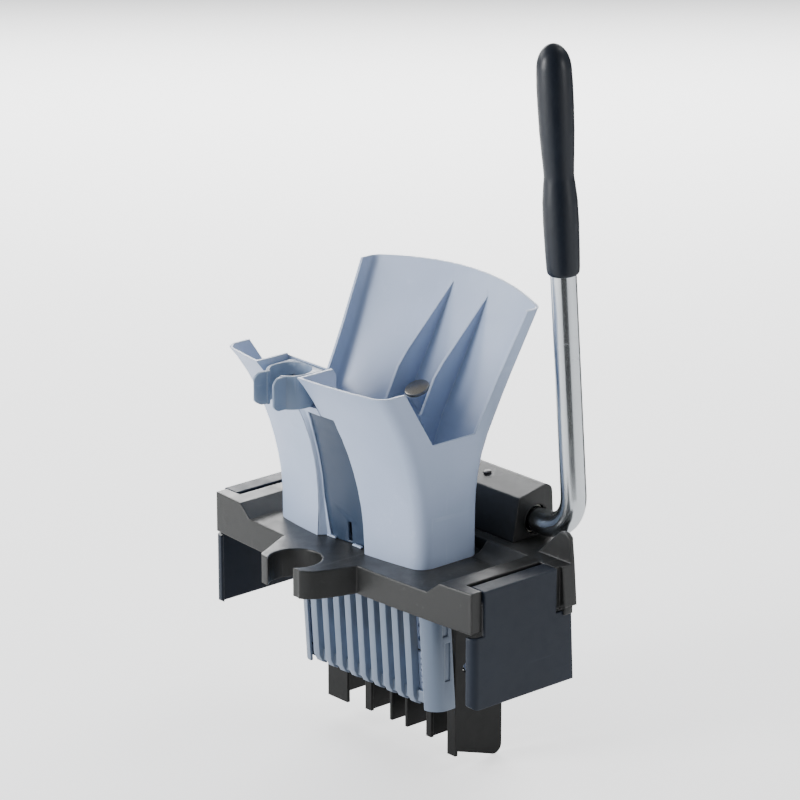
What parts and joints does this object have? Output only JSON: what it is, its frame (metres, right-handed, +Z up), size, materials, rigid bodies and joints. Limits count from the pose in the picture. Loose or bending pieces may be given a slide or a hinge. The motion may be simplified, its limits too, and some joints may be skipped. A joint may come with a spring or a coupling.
{
  "type": "mop wringer",
  "caption": "Side-press mop wringer that hangs on a bucket: a split funnel over a slotted drain basket and a press plate driven by a long upright hand lever.",
  "frame": {"origin": "midway between the two latches on the plate's seat plane, which rests on the bucket's rim", "axes": "+X runs along the plate to the lever, -Y is the open front with the handle clip, +Z is up"},
  "size_m": [0.339, 0.2199, 0.6447],
  "materials": {
    "plate_dark": "fine moulded grain",
    "cage_dark": "fine moulded grain",
    "light_blue": "satin",
    "slate": "satin",
    "navy": "satin",
    "grip": "satin",
    "tube_metal": "polished",
    "steel": "satin",
    "stud_metal": "satin",
    "nylon": "satin",
    "black_rubber": "matt",
    "black_plastic": "satin"
  },
  "bodies": {
    "frame": {"base_plate": "plate_dark", "press_cage": "cage_dark", "funnel": "light_blue", "channel_panel": "slate", "drain_basket": "light_blue", "drain_sheet": "light_blue", "handle_clip": "slate", "clip_screws": "steel", "scoop_stud": "stud_metal", "lever_housing": "plate_dark", "housing_screws": "steel", "oil_plug": "black_plastic", "shaft_bush_right": "nylon", "shaft_bush_left": "nylon", "return_spring": "steel", "latch_pin_left": "steel", "latch_pin_right": "steel", "latch_spring_left": "steel", "latch_spring_right": "steel", "rim_pads": "black_rubber", "stop_buffers": "black_rubber", "funnel_screws": "steel", "cage_screws": "steel", "basket_screws": "steel"},
    "lever": {"lever_tube": "tube_metal", "lever_grip": "grip", "tube_plug": "black_plastic", "shaft_collar_right": "steel", "shaft_collar_left": "steel", "collar_screws": "steel", "cam_left": "steel", "cam_right": "steel", "cam_pins": "steel"},
    "press": {"press_plate": "cage_dark", "press_facing": "light_blue", "guide_pins": "nylon"},
    "latch_left": {"latch_left": "navy"},
    "latch_right": {"latch_right": "navy"}
  },
  "joints": [
    {"name": "lever_hinge", "type": "hinge", "parent": "frame", "child": "lever", "pos_m": [0, 0.06, 0.029], "axis": [-1, 0, 0], "range_deg": [0, 36.5], "stiffness_Nm_per_rad": 1.2, "springref_deg": -20.05},
    {"name": "press_slide", "type": "slide", "parent": "frame", "child": "press", "axis": [0, -1, 0], "range_m": [0, 0.0333]},
    {"name": "latch_left_hinge", "type": "hinge", "parent": "frame", "child": "latch_left", "pos_m": [-0.158, -0.0215, 0.004], "axis": [0, 1, 0], "range_deg": [0, 20], "stiffness_Nm_per_rad": 0.25, "springref_deg": -28.65},
    {"name": "latch_right_hinge", "type": "hinge", "parent": "frame", "child": "latch_right", "pos_m": [0.158, -0.0215, 0.004], "axis": [0, -1, 0], "range_deg": [0, 20], "stiffness_Nm_per_rad": 0.25, "springref_deg": -28.65}
  ],
  "couplings": [
    {"joint": "press_slide", "follows": "lever_hinge", "m_per_rad": 0.052}
  ]
}
